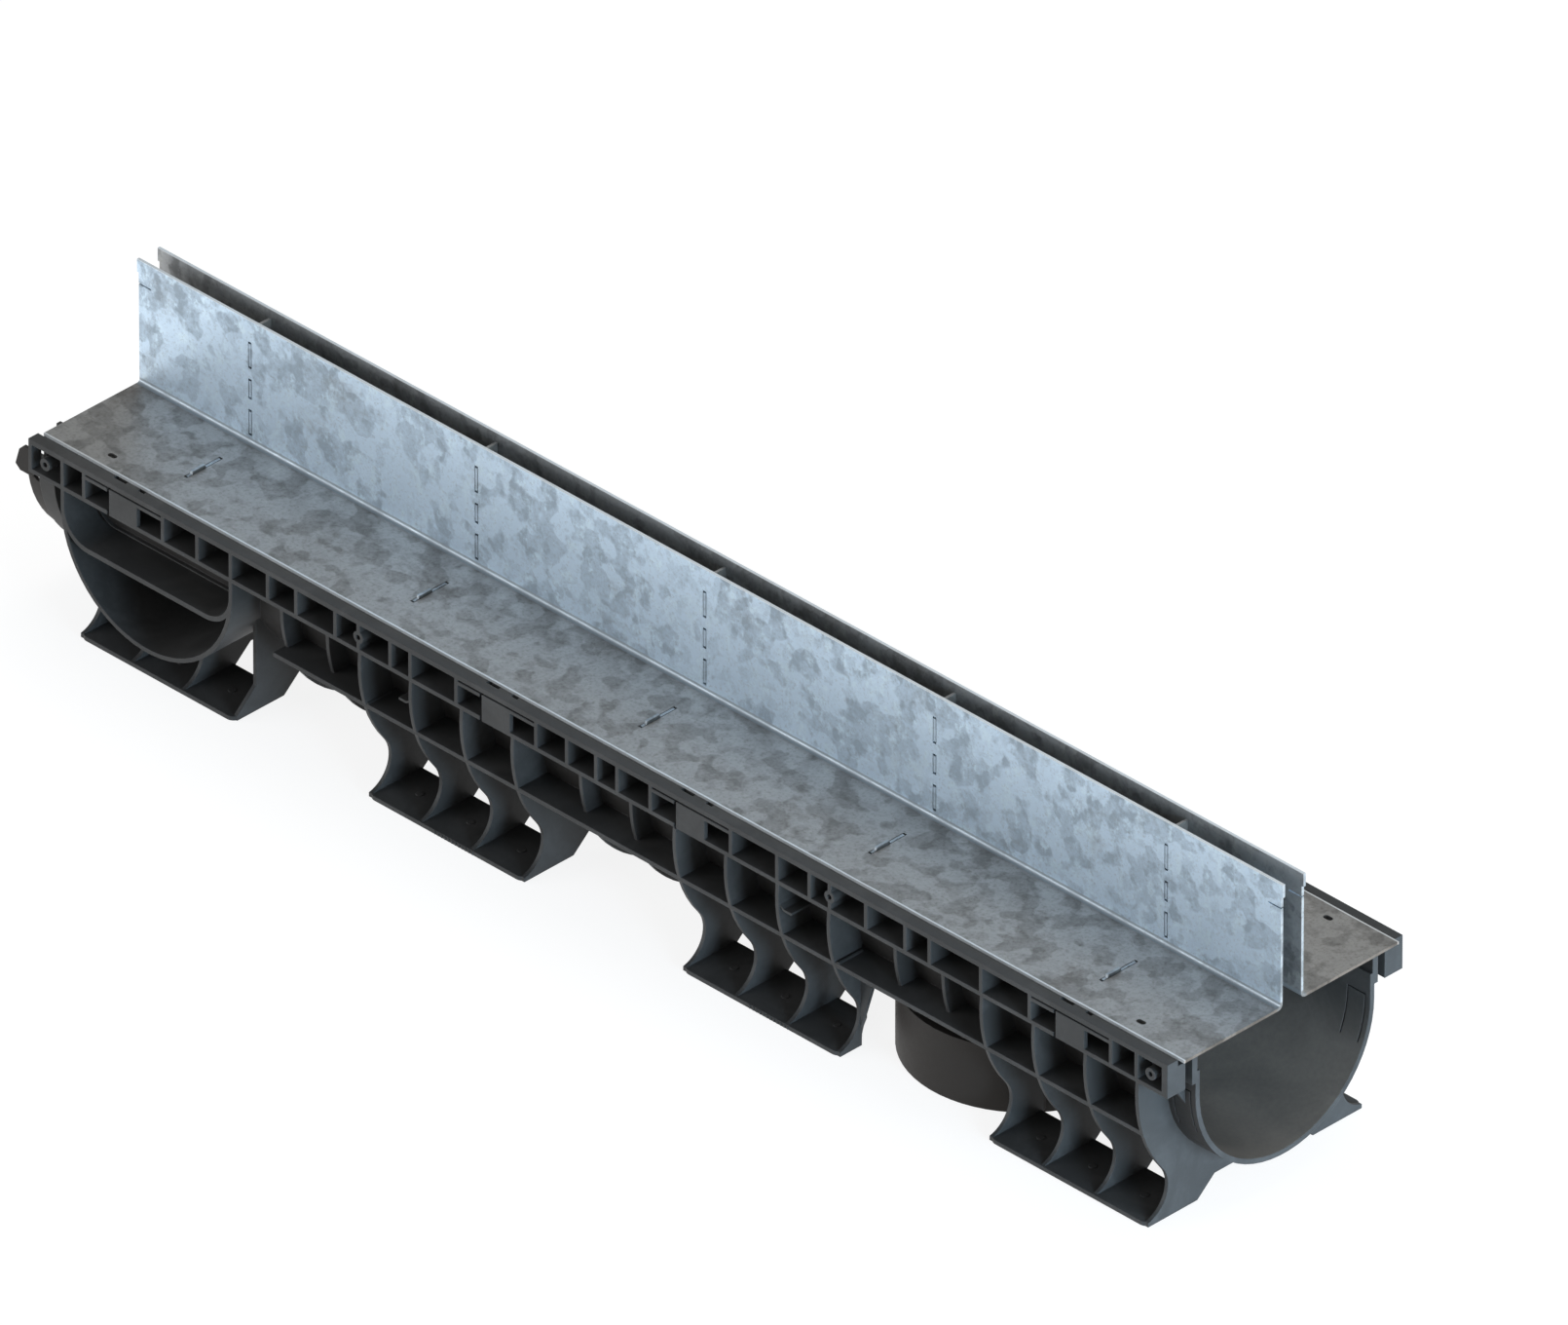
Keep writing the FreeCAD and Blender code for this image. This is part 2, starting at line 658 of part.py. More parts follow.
def channel_body():
    ends = rail_end + OVERCUT
    skin_middle = pocket_top + RAIL_SKIN / 2
    trough_outer = u_prism(trough_outer_radius, trough_centre, skin_middle, -rail_end, rail_end)
    trough_hollow = u_prism(trough_radius, trough_centre, rail_height + OVERCUT, -ends, ends)

    one_side = rail() + stepped_end() + plain_end() + ledge_rods()
    one_side += [lower_ledge(), outlet_gusset(), lock_tab()]
    one_side += [bent_tab(bent_tab_ribs[0], -1), bent_tab(bent_tab_ribs[1], 1)]
    for centre in clip_centres:
        one_side += clip(centre)
    for x in boss_places():
        one_side.append(boss(x))

    branch_solid = branch_prism(0)
    clear_of_outlet = outlet_cylinder(OUTLET_RADIUS + OUTLET_CLEARANCE, -OVERCUT, trough_centre)
    feet = []
    for number, centre in enumerate(foot_centres):
        ribs = [foot_rib(x) for x in foot_rib_places(centre)]
        plates = both_sides([foot_plate(centre)])
        if number == 0:
            ribs[-1] = branch_rib(foot_rib_places(centre)[-1])
            ribs = [rib.cut(branch_solid) for rib in ribs]
        if number == 2:
            ribs[-1] = ribs[-1].cut(clear_of_outlet)
            plates = [plate.cut(clear_of_outlet) for plate in plates]
        feet += ribs + plates
    short = [short_rib(x) for x in short_ribs]

    outlet = outlet_cylinder(OUTLET_RADIUS, 0, OUTLET_HEIGHT)
    outlet_inner = OUTLET_RADIUS - OUTLET_WALL
    outlet_hollow = outlet_cylinder(outlet_inner, -OVERCUT, OUTLET_HEIGHT - OUTLET_WALL).cut(trough_outer)

    solids = both_sides(one_side) + feet + short + branch_preform() + socket() + [outlet]
    body = trough_outer.multiFuse(solids)

    side_cuts = plain_end_cuts() + [lock_hole(), stepped_end_cut()]
    for x in boss_places():
        side_cuts.append(boss_bore(x))
    for centre in clip_centres:
        side_cuts += clip_windows(centre) + [clip_gap(centre)]
    cuts = both_sides(side_cuts) + [trough_hollow, socket_hollow(), outlet_hollow]
    return body.cut(cuts).removeSplitter()


def slot_plate():
    """The +Y plate of the slot top: flange on the rail, fold, and upstand beside the slot."""
    start = slot_top_centre - slot_top_half
    end = slot_top_centre + slot_top_half
    bend = FOLD_RADIUS + SHEET
    turn_y = wall_inner + bend
    turn_z = rail_height + bend
    slant = math.sqrt(0.5)

    def at(y, z):
        return V(start, y, z)

    edges = [
        line(at(flange_edge, rail_height), at(turn_y, rail_height)),
        arc(
            at(turn_y, rail_height),
            at(turn_y - bend * slant, turn_z - bend * slant),
            at(wall_inner, turn_z),
        ),
        line(at(wall_inner, turn_z), at(wall_inner, upstand_top)),
        line(at(wall_inner, upstand_top), at(wall_outer, upstand_top)),
        line(at(wall_outer, upstand_top), at(wall_outer, turn_z)),
        arc(
            at(wall_outer, turn_z),
            at(turn_y - FOLD_RADIUS * slant, turn_z - FOLD_RADIUS * slant),
            at(turn_y, flange_top),
        ),
        line(at(turn_y, flange_top), at(flange_edge, flange_top)),
        line(at(flange_edge, flange_top), at(flange_edge, rail_height)),
    ]
    plate = extruded(edges, V(end - start, 0, 0))
    tongues = [
        box(start - TONGUE_LENGTH, start, wall_inner, wall_outer, upstand_top - TONGUE_HEIGHT, upstand_top),
        box(end, end + TONGUE_LENGTH, wall_inner, wall_outer, upstand_top - TONGUE_HEIGHT, upstand_top),
    ]
    plate = plate.multiFuse(tongues)

    slit_z = upstand_top - END_SLIT_DROP
    inner = wall_inner - OVERCUT
    outer = wall_outer + OVERCUT
    cuts = [
        box(start - OVERCUT, start + END_SLIT_LENGTH, inner, outer, slit_z - END_SLIT, slit_z),
        box(end - END_SLIT_LENGTH, end + OVERCUT, inner, outer, slit_z - END_SLIT, slit_z),
        screw_slot(start + SCREW_SLOT_FROM_END),
        screw_slot(end - SCREW_SLOT_FROM_END),
    ]
    half = SPACER_SHEET / 2 + TAB_PLAY / 2
    flange_slot_y = flange_edge - FLANGE_SLOT_INSET
    y0 = flange_slot_y - FLANGE_SLOT_LENGTH / 2
    y1 = flange_slot_y + FLANGE_SLOT_LENGTH / 2
    for x in spacer_places():
        for low, high in wall_slots:
            cuts.append(box(x - half, x + half, inner, outer, upstand_top - high, upstand_top - low))
        cuts.append(box(x - half, x + half, y0, y1, rail_height - OVERCUT, flange_top + OVERCUT))
    return plate.cut(cuts).removeSplitter()


def screw_slot(x):
    """An elongated screw hole in the flange, longer along the channel."""
    radius = SCREW_SLOT_WIDTH / 2
    y = flange_edge - SCREW_SLOT_INSET
    half = SCREW_SLOT_LENGTH / 2 - radius
    low = rail_height - OVERCUT
    height = SHEET + 2 * OVERCUT
    ends = [Part.makeCylinder(radius, height, V(x + s * half, y, low), V(0, 0, 1)) for s in (-1, 1)]
    middle = box(x - half, x + half, y - radius, y + radius, low, low + height)
    return middle.multiFuse(ends)


def spacer_places():
    pitch = MODULE / SPACERS
    return [slot_top_centre + pitch * (i - (SPACERS - 1) / 2) for i in range(SPACERS)]


def spacer(x):
    """A cross plate: web across the slot with tabs in both upstands, beam under both flanges."""
    start = x - SPACER_SHEET / 2
    end = x + SPACER_SHEET / 2
    web_half = wall_inner - WEB_CLEARANCE
    beam_half = trough_radius - BEAM_CLEARANCE
    low = rail_height - BEAM_DEPTH
    beam = polygon(
        [
            V(start, -beam_half, rail_height),
            V(start, -beam_half, rail_height - BEAM_END_DEPTH),
            V(start, -beam_half + BEAM_TAPER, low),
            V(start, beam_half - BEAM_TAPER, low),
            V(start, beam_half, rail_height - BEAM_END_DEPTH),
            V(start, beam_half, rail_height),
        ],
        V(SPACER_SHEET, 0, 0),
    )
    web = box(start, end, -web_half, web_half, low, upstand_top - SPACER_DROP)
    tabs = []
    for slot_low, slot_high in wall_slots:
        z0 = upstand_top - slot_high + WALL_TAB_PLAY
        z1 = upstand_top - slot_low - WALL_TAB_PLAY
        tabs.append(box(start, end, -wall_outer, wall_outer, z0, z1))
    tab_y = flange_edge - FLANGE_SLOT_INSET
    tab_half = FLANGE_SLOT_LENGTH / 2 - WALL_TAB_PLAY
    flange_tab = box(start, end, tab_y - tab_half, tab_y + tab_half, rail_height - BEAM_END_DEPTH, flange_top)
    crest_end = tab_y + FLANGE_SLOT_LENGTH / 2 - FLANGE_CREST_INSET
    crest_start = crest_end - FLANGE_CREST_LENGTH
    crest_top = flange_top + FLANGE_CREST_HEIGHT
    crest = polygon(
        [
            V(start, crest_start, flange_top - SHEET),
            V(start, crest_start + FLANGE_CREST_HEIGHT / 2, crest_top),
            V(start, crest_end - FLANGE_CREST_HEIGHT / 2, crest_top),
            V(start, crest_end, flange_top - SHEET),
        ],
        V(SPACER_SHEET, 0, 0),
    )
    return beam.multiFuse([web] + tabs + both_sides([flange_tab, crest])).removeSplitter()


def save(name, shape):
    shape = shape.copy()
    shape.translate(V(-origin_x, 0, 0))
    solids = shape.Solids
    if len(solids) == 1:
        shape = solids[0]
    shape.exportStep(os.path.join("parts", name + ".step"))
    size = shape.BoundBox
    print(name, "solids", len(solids), "valid", shape.isValid(), "volume", round(shape.Volume))
    print("  x", round(size.XMin, 2), round(size.XMax, 2), "y", round(size.YMin, 2), round(size.YMax, 2),
          "z", round(size.ZMin, 2), round(size.ZMax, 2))


def main():
    os.makedirs("parts", exist_ok=True)
    save("channel_body", channel_body())
    far_plate = slot_plate()
    save("far_slot_plate", far_plate)
    save("near_slot_plate", both_sides([far_plate])[1])
    for number, x in enumerate(spacer_places(), start=1):
        save("spacer_" + str(number), spacer(x))


main()
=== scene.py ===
import math
import bpy
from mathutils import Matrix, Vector


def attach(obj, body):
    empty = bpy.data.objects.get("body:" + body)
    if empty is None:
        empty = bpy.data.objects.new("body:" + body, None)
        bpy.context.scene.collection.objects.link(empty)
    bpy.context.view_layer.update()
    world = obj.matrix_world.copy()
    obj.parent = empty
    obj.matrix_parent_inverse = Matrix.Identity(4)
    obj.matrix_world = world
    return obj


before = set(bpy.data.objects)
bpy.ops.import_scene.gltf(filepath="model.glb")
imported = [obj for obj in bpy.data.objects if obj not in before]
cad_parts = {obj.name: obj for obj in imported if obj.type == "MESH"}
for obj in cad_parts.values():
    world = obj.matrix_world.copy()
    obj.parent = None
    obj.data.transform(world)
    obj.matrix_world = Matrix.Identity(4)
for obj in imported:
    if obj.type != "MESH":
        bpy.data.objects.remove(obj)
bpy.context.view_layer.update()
print("frame loaded:", len(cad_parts), "nodes")


# wraps a socket so that sums on it add Math nodes
class Wire:
    def __init__(self, tree, socket):
        self.tree = tree
        self.socket = socket

    def math(self, operation, first, second):
        node = self.tree.nodes.new("ShaderNodeMath")
        node.operation = operation
        for place, value in enumerate((first, second)):
            if isinstance(value, Wire):
                self.tree.links.new(value.socket, node.inputs[place])
            else:
                node.inputs[place].default_value = value
        return Wire(self.tree, node.outputs[0])

    def __add__(self, other):
        return self.math("ADD", self, other)

    def __radd__(self, other):
        return self.math("ADD", other, self)

    def __sub__(self, other):
        return self.math("SUBTRACT", self, other)

    def __rsub__(self, other):
        return self.math("SUBTRACT", other, self)

    def __mul__(self, other):
        return self.math("MULTIPLY", self, other)

    def __rmul__(self, other):
        return self.math("MULTIPLY", other, self)

    def __pow__(self, other):
        return self.math("POWER", self, other)


# builds one node material
class Finish:
    def __init__(self, owner):
        owner.use_nodes = True
        self.owner = owner
        self.tree = owner.node_tree
        self.tree.nodes.clear()

    # any node: its type, its settings, then the values or wires of its sockets
    def add(self, kind, settings=None, inputs=None, output=0):
        node = self.tree.nodes.new(kind)
        for name, value in (settings or {}).items():
            setattr(node, name, value)
        for name, value in (inputs or {}).items():
            if isinstance(value, Wire):
                self.tree.links.new(value.socket, node.inputs[name])
            else:
                node.inputs[name].default_value = value
        return Wire(self.tree, node.outputs[output]) if len(node.outputs) else None

    def noise(self, place, scale, detail, roughness=0.5, distortion=0.0, colour=False):
        look = {"Scale": scale, "Detail": detail, "Roughness": roughness, "Distortion": distortion}
        look["Vector"] = place
        return self.add("ShaderNodeTexNoise", None, look, output="Color" if colour else "Fac")

    # a soft step from 0 to 1 between two values
    def step(self, value, low, high):
        return self.add(
            "ShaderNodeMapRange",
            {"interpolation_type": "SMOOTHSTEP"},
            {"Value": value, "From Min": low, "From Max": high},
        )

    def blend(self, factor, first, second, how="MIX"):
        node = self.tree.nodes.new("ShaderNodeMix")
        node.data_type = "RGBA"
        node.blend_type = how
        node.clamp_factor = True
        for place, value in ((0, factor), (6, first), (7, second)):
            if isinstance(value, Wire):
                self.tree.links.new(value.socket, node.inputs[place])
            else:
                node.inputs[place].default_value = value
        return Wire(self.tree, node.outputs[2])

    def vector(self, operation, first, second, output="Vector"):
        settings = {"operation": operation}
        return self.add("ShaderNodeVectorMath", settings, {0: first, 1: second}, output)

    def parts(self, vector):
        node = self.add("ShaderNodeSeparateXYZ", None, {"Vector": vector}).socket.node
        return [Wire(self.tree, output) for output in node.outputs]

    def size(self, value):
        return self.add("ShaderNodeMath", {"operation": "ABSOLUTE"}, {0: value})

    def least(self, value, other):
        return self.add("ShaderNodeMath", {"operation": "MINIMUM"}, {0: value, 1: other})

    def limited(self, value):
        return self.add("ShaderNodeClamp", None, {"Value": value})

    # 1 on faces that look along the channel, such as cut ends
    def ends(self):
        turned = self.parts(self.add("ShaderNodeNewGeometry", output="True Normal"))[0]
        return self.step(self.size(turned), 0.7, 0.9)

    # how far the surface turns within a small radius: 0 on a flat face, towards 1 at an edge
    def edges(self, radius):
        rounded = self.add("ShaderNodeBevel", {"samples": 4}, {"Radius": radius})
        flat = self.add("ShaderNodeNewGeometry", output="Normal")
        return 1 - self.vector("DOT_PRODUCT", rounded, flat, "Value"), rounded

    def close(self, surface):
        self.add("ShaderNodeOutputMaterial", None, {"Surface": surface})
        return self.owner


def millimetres(finish):
    place = finish.add("ShaderNodeTexCoord", output="Object")
    scale = (1000.0, 1000.0, 1000.0)
    return finish.add("ShaderNodeMapping", None, {"Vector": place, "Scale": scale})


# hot-dip galvanised sheet; lengths in mm
zinc = {
    "light": (0.645, 0.79, 0.93, 1.0),
    "dull": (0.355, 0.435, 0.51, 1.0),
    "frost": (0.72, 0.88, 1.0, 1.0),
    "stain": (0.27, 0.28, 0.285, 1.0),
    # painted highlight along the upstands' and flanges' cut edges
    "edgeHighlight": (0.82, 0.86, 0.89, 1.0),
    # painted shade in the crease of the fold between a flange and its upstand
    "foldShade": (0.34, 0.38, 0.41, 1.0),
    # the next four are multiplied in
    "lying": (0.525, 0.425, 0.355, 1.0),    # painted shade on the flanges' upward faces, darker and warmer than the upstands
    "inside": (0.60, 0.50, 0.43, 1.0),      # painted shade on the faces inside the slot, darker and warmer
    "end": (1.0, 0.94, 0.88, 1.0),          # on the sheets' sawn ends: partly the duller bare cut, partly painted shade against the right lamp's glare
    "crest": (0.66, 0.60, 0.55, 1.0),       # a milder painted shade on what stands out of the flanges' slots
    "spacerTone": 0.85,     # the spacers are a duller sheet
    "patch": 20.0,          # across a spangle patch
    "finer": 1.7,           # how much finer the second layer of patches is
    "wander": 6.0,          # how finely the patches' outlines wander
    "wanderReach": 5.0,     # and how far
    "cloud": 85.0,          # across the broad clouds
    "mottle": 7.0,
    "grit": 2.2,
    "largeShare": 0.62,     # of the large patches, the finer ones have the rest
    "flangeShare": 0.8,     # of the patches' contrast that is left on the flanges
    "mottleShare": 0.85,
    "gritShare": 0.75,
    "runs": (0.13, 0.13, 0.04),     # repeats of the frost's runs in 1 mm, long ones up the sheet
    "runFrost": 0.85,
    "fleckFrost": 0.42,
    "cloudStain": 0.45,
    "gritStain": 0.34,
    "foldShare": 0.92,
    "edgeHighlightShare": 0.7,
    "metallic": 0.94,
    "bloom": 0.38,          # how much less metallic the faces inside the slot are
    "roughness": 0.45,
    "dullRough": 0.10,
    "frostSmooth": 0.06,
    "gritRough": 0.14,
    "foldRough": 0.1,
    "relief": 0.14,
    "reliefDepth": 0.0004,  # m
    "inner": 8.1,           # the faces inside the slot lie nearer the middle than this
    "wallHalf": 11.0,       # and the upstands nearer than this
    "top": 226.5,           # where the upstands' cut edge starts
    "edge": 92.2,           # where the flanges' cut edge starts
    "foot": 140.8,          # top of the fold between a flange and its upstand
    "foldHalf": 13.4,       # where the fold ends on the flange
    "soft": 0.3,            # over which an edge fades in
}


def galvanisedFinish(name, tone=1.0, folded=True):
    def toned(key):
        return tuple(value * tone for value in zinc[key][:3]) + (1.0,)

    finish = Finish(bpy.data.materials.new(name))
    place = millimetres(finish)
    y, z = finish.parts(place)[1:]
    soft = zinc["soft"]
    reach = (zinc["wanderReach"],) * 3
    bend = finish.noise(place, 1 / zinc["wander"], detail=1.0, colour=True)
    bend = finish.vector("SUBTRACT", bend, (0.5, 0.5, 0.5))
    bend = finish.vector("ADD", place, finish.vector("MULTIPLY", bend, reach))
    large = finish.noise(bend, 1 / zinc["patch"], detail=1.1, distortion=0.25)
    aside = finish.vector("ADD", bend, (310.0, 95.0, 40.0))
    second = finish.noise(aside, zinc["finer"] / zinc["patch"], detail=1.5)
    clouds = finish.noise(place, 1 / zinc["cloud"], detail=3.0, roughness=0.6)
    grit = finish.noise(place, 1 / zinc["grit"], detail=3.0, roughness=0.7)
    mottle = finish.noise(place, 1 / zinc["mottle"], detail=4.0, roughness=0.7)

    # spangle in two layers of patches, weaker on the flanges
    dull = finish.step(large + (clouds - 0.5) * 0.35, 0.50, 0.57) * zinc["largeShare"]
    finer = finish.step(second + (clouds - 0.5) * 0.2, 0.52, 0.63)
    dull = dull + finer * (1 - zinc["largeShare"])
    across = finish.size(y)
    wall = 1 - finish.step(across, zinc["wallHalf"], zinc["wallHalf"] + 1.5)
    dull = 0.5 + (dull - 0.5) * (zinc["flangeShare"] + wall * (1 - zinc["flangeShare"]))
    dull = dull + (mottle - 0.5) * zinc["mottleShare"] + (grit - 0.5) * zinc["gritShare"]
    colour = finish.blend(dull, toned("light"), toned("dull"))

    # frost runs down the upstands and lies in small flecks on the flanges
    runs = finish.vector("MULTIPLY", place, zinc["runs"])
    runs = finish.noise(runs, 1.0, detail=3.5, roughness=0.65)
    flecks = finish.vector("ADD", place, (0.0, 70.0, 0.0))
    flecks = finish.noise(flecks, 1 / zinc["mottle"], detail=4.0, roughness=0.68)
    frost = finish.step(runs * 0.5 + flecks * 0.5, 0.50, 0.64) * wall * zinc["runFrost"]
    frost = frost + finish.step(flecks, 0.54, 0.70) * zinc["fleckFrost"]
    colour = finish.blend(frost * (1 - dull * 0.5), colour, toned("frost"))
    stain = finish.step(clouds + (mottle - 0.5) * 0.4, 0.55, 0.85) * zinc["cloudStain"]
    colour = finish.blend(stain, colour, toned("stain"))
    stain = finish.step(grit, 0.52, 0.74) * zinc["gritStain"]
    colour = finish.blend(stain, colour, toned("stain"))

    # painted shade inside the slot, on the flanges and in the fold; painted highlights on the cut
    # edges; the sawn ends partly bare cut, partly painted shade
    # painted shade: the faces inside the slot are darkened and warmed
    inner = 1 - finish.step(across, zinc["inner"], zinc["inner"] + soft)
    colour = finish.blend(inner, colour, zinc["inside"], "MULTIPLY")
    # painted highlight along the upstands' cut top edge, and below along the flanges' outer edges
    edgeHighlight = finish.step(z, zinc["top"], zinc["top"] + soft)
    foldShade = 0.0
    # painted shade: the flanges, and more mildly the spacers' parts on them, are darkened and
    # warmed
    lying = zinc["lying"] if folded else zinc["crest"]
    colour = finish.blend(1 - wall, colour, lying, "MULTIPLY")
    if folded:
        # painted shade in the fold's crease
        foldShade = 1 - finish.step(z, zinc["foot"] - 1.2, zinc["foot"])
        foldShade = foldShade * (1 - finish.step(across, zinc["foldHalf"] - 1.0, zinc["foldHalf"]))
        colour = finish.blend(foldShade * zinc["foldShare"], colour, toned("foldShade"))
        edgeHighlight = finish.limited(edgeHighlight + finish.step(across, zinc["edge"], zinc["edge"] + soft))
    colour = finish.blend(edgeHighlight * zinc["edgeHighlightShare"], colour, toned("edgeHighlight"))
    # the sawn ends: partly bare cut, partly painted shade
    colour = finish.blend(finish.ends(), colour, zinc["end"], "MULTIPLY")

    rough = zinc["roughness"] + dull * zinc["dullRough"] - frost * zinc["frostSmooth"]
    rough = rough + (grit - 0.5) * zinc["gritRough"] + foldShade * zinc["foldRough"]
    relief = {"Strength": zinc["relief"], "Distance": zinc["reliefDepth"]}
    relief["Height"] = grit * 0.4 + dull * 0.6
    shader = finish.add(
        "ShaderNodeBsdfPrincipled",
        None,
        {
            "Base Color": colour,
            "Metallic": zinc["metallic"] - inner * zinc["bloom"],
            "Roughness": rough,
            "Normal": finish.add("ShaderNodeBump", None, relief),
        },
    )
    return finish.close(shader)


# moulded black plastic; lengths in mm
plastic = {
    "specular": 0.22,
    "base": (0.0410, 0.0405, 0.0398, 1.0),
    "flow": (0.060, 0.059, 0.058, 1.0),
    # painted highlight along the rounded edges
    "edge": (0.105, 0.108, 0.110, 1.0),
    "hollowLight": (0.205, 0.176, 0.150, 1.0),     # painted light inside the trough's hollow, a lighter warm tone where it lies in shade
    # painted shade in dark brown on the trough's outer shell and the outlet stub; the socket's
    # collar is darkened with it
    "darkBrown": (0.016, 0.0125, 0.010, 1.0),
    "shellShade": 0.45,
    "stubShade": 0.9,
    "collarDark": 0.7,
    "hollowLightShare": 0.62,
    "hollowLightLow": 1.12,        # the painted light's strength near the bottom
    "hollowLightFall": 1.04,       # and how much of it is lost above
    "fadeBottom": 42.0,            # the painted light thins out from this height
    "fadeTop": 104.0,           # to this one
    "roughness": 0.54,
    "grain": 0.5,           # the mould's spark-eroded grain
    "relief": 0.16,
    "reliefDepth": 0.0002,  # m
    "flowWidth": 60.0,
    "speck": 3.0,
    "corner": 0.0009,       # m, radius of the rounded edges
    "outlet": 287.25,       # along the channel to the outlet's axis
    "stub": 81.0,           # just outside the outlet stub
    "stubTop": 47.5,
    "collar": -497.0,       # where the socket's collar starts
    "axis": 100.5,          # height of the trough's axis
    "bore": 74.9,           # just outside the trough's inner face
    "skin": 78.4,           # just outside its outer face
    "soft": 0.5,            # over which a region fades
}


def plasticFinish():
    finish = Finish(bpy.data.materials.new("mouldedPlastic"))
    place = millimetres(finish)
    x, y, z = finish.parts(place)
    soft = plastic["soft"]
    grain = finish.noise(place, 1 / plastic["grain"], detail=2.0, roughness=0.6)
    flow = finish.noise(place, 1 / plastic["flowWidth"], 3.0, roughness=0.6, distortion=1.2)
    speck = finish.noise(place, 1 / plastic["speck"], detail=3.0, roughness=0.65)
    edge, rounded = finish.edges(plastic["corner"])
    edgeHighlight = finish.step(edge, 0.04, 0.30)
    streaks = finish.step(flow + (speck - 0.5) * 0.3, 0.40, 0.72)
    colour = finish.blend(streaks, plastic["base"], plastic["flow"])

    # the trough's inside and shell, by the distance from its axis
    below = finish.least(z - plastic["axis"], 0.0)
    reach = (y * y + below * below) ** 0.5
    inside = 1 - finish.step(reach, plastic["bore"], plastic["bore"] + soft)
    shell = 1 - finish.step(reach, plastic["skin"], plastic["skin"] + soft)
    shell = shell * (1 - inside)
    along = 1 - finish.ends()
    aside = x - plastic["outlet"]
    aside = (aside * aside + y * y) ** 0.5
    stub = 1 - finish.step(aside, plastic["stub"], plastic["stub"] + soft)
    stub = stub * (1 - finish.step(z, plastic["stubTop"], plastic["stubTop"] + soft))
    collar = 1 - finish.step(x, plastic["collar"] - 1.0, plastic["collar"])
    # painted shade in dark brown on the trough's outer shell in the pockets and on the outlet stub
    # under the ledge; the socket's collar is darkened too
    darkBrown = shell * along * plastic["shellShade"] + stub * plastic["stubShade"]
    darkBrown = finish.limited(darkBrown + collar * plastic["collarDark"])
    colour = finish.blend(darkBrown, colour, plastic["darkBrown"])
    # painted light inside the trough's hollow, weaker towards the top
    hollowLight = inside * along * (plastic["hollowLightShare"] + (flow - 0.5) * 0.5 + (speck - 0.5) * 0.3)
    fadeTop = finish.step(z, plastic["fadeBottom"], plastic["fadeTop"])
    hollowLight = hollowLight * (plastic["hollowLightLow"] - fadeTop * plastic["hollowLightFall"])
    colour = finish.blend(hollowLight, colour, plastic["hollowLight"])
    # painted highlight along the rounded edges
    colour = finish.blend(edgeHighlight * (0.18 + speck * 0.26), colour, plastic["edge"])

    rough = plastic["roughness"] + (speck - 0.5) * 0.16 + (flow - 0.5) * 0.12
    relief = {"Strength": plastic["relief"], "Distance": plastic["reliefDepth"]}
    relief.update({"Height": grain, "Normal": rounded})
    shader = finish.add(
        "ShaderNodeBsdfPrincipled",
        None,
        {
            "Base Color": colour,
            "Roughness": rough - edgeHighlight * 0.10 + inside * 0.08,
            "Specular IOR Level": plastic["specular"],
            "Normal": finish.add("ShaderNodeBump", None, relief),
        },
    )
    return finish.close(shader)


def dress(node, material):
    slots = node.data.materials
    if len(slots) == 0:
        slots.append(material)
    for number in range(len(slots)):
        slots[number] = material


zincMaterial = galvanisedFinish("galvanisedSheet")
spacerMaterial = galvanisedFinish("galvanisedSpacer", zinc["spacerTone"], folded=False)
plasticMaterial = plasticFinish()
for name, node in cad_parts.items():
    if name == "channel_body":
        dress(node, plasticMaterial)
    else:
        dress(node, spacerMaterial if name.startswith("spacer") else zincMaterial)
print("finishes on the channel body, the slot plates and the spacers")


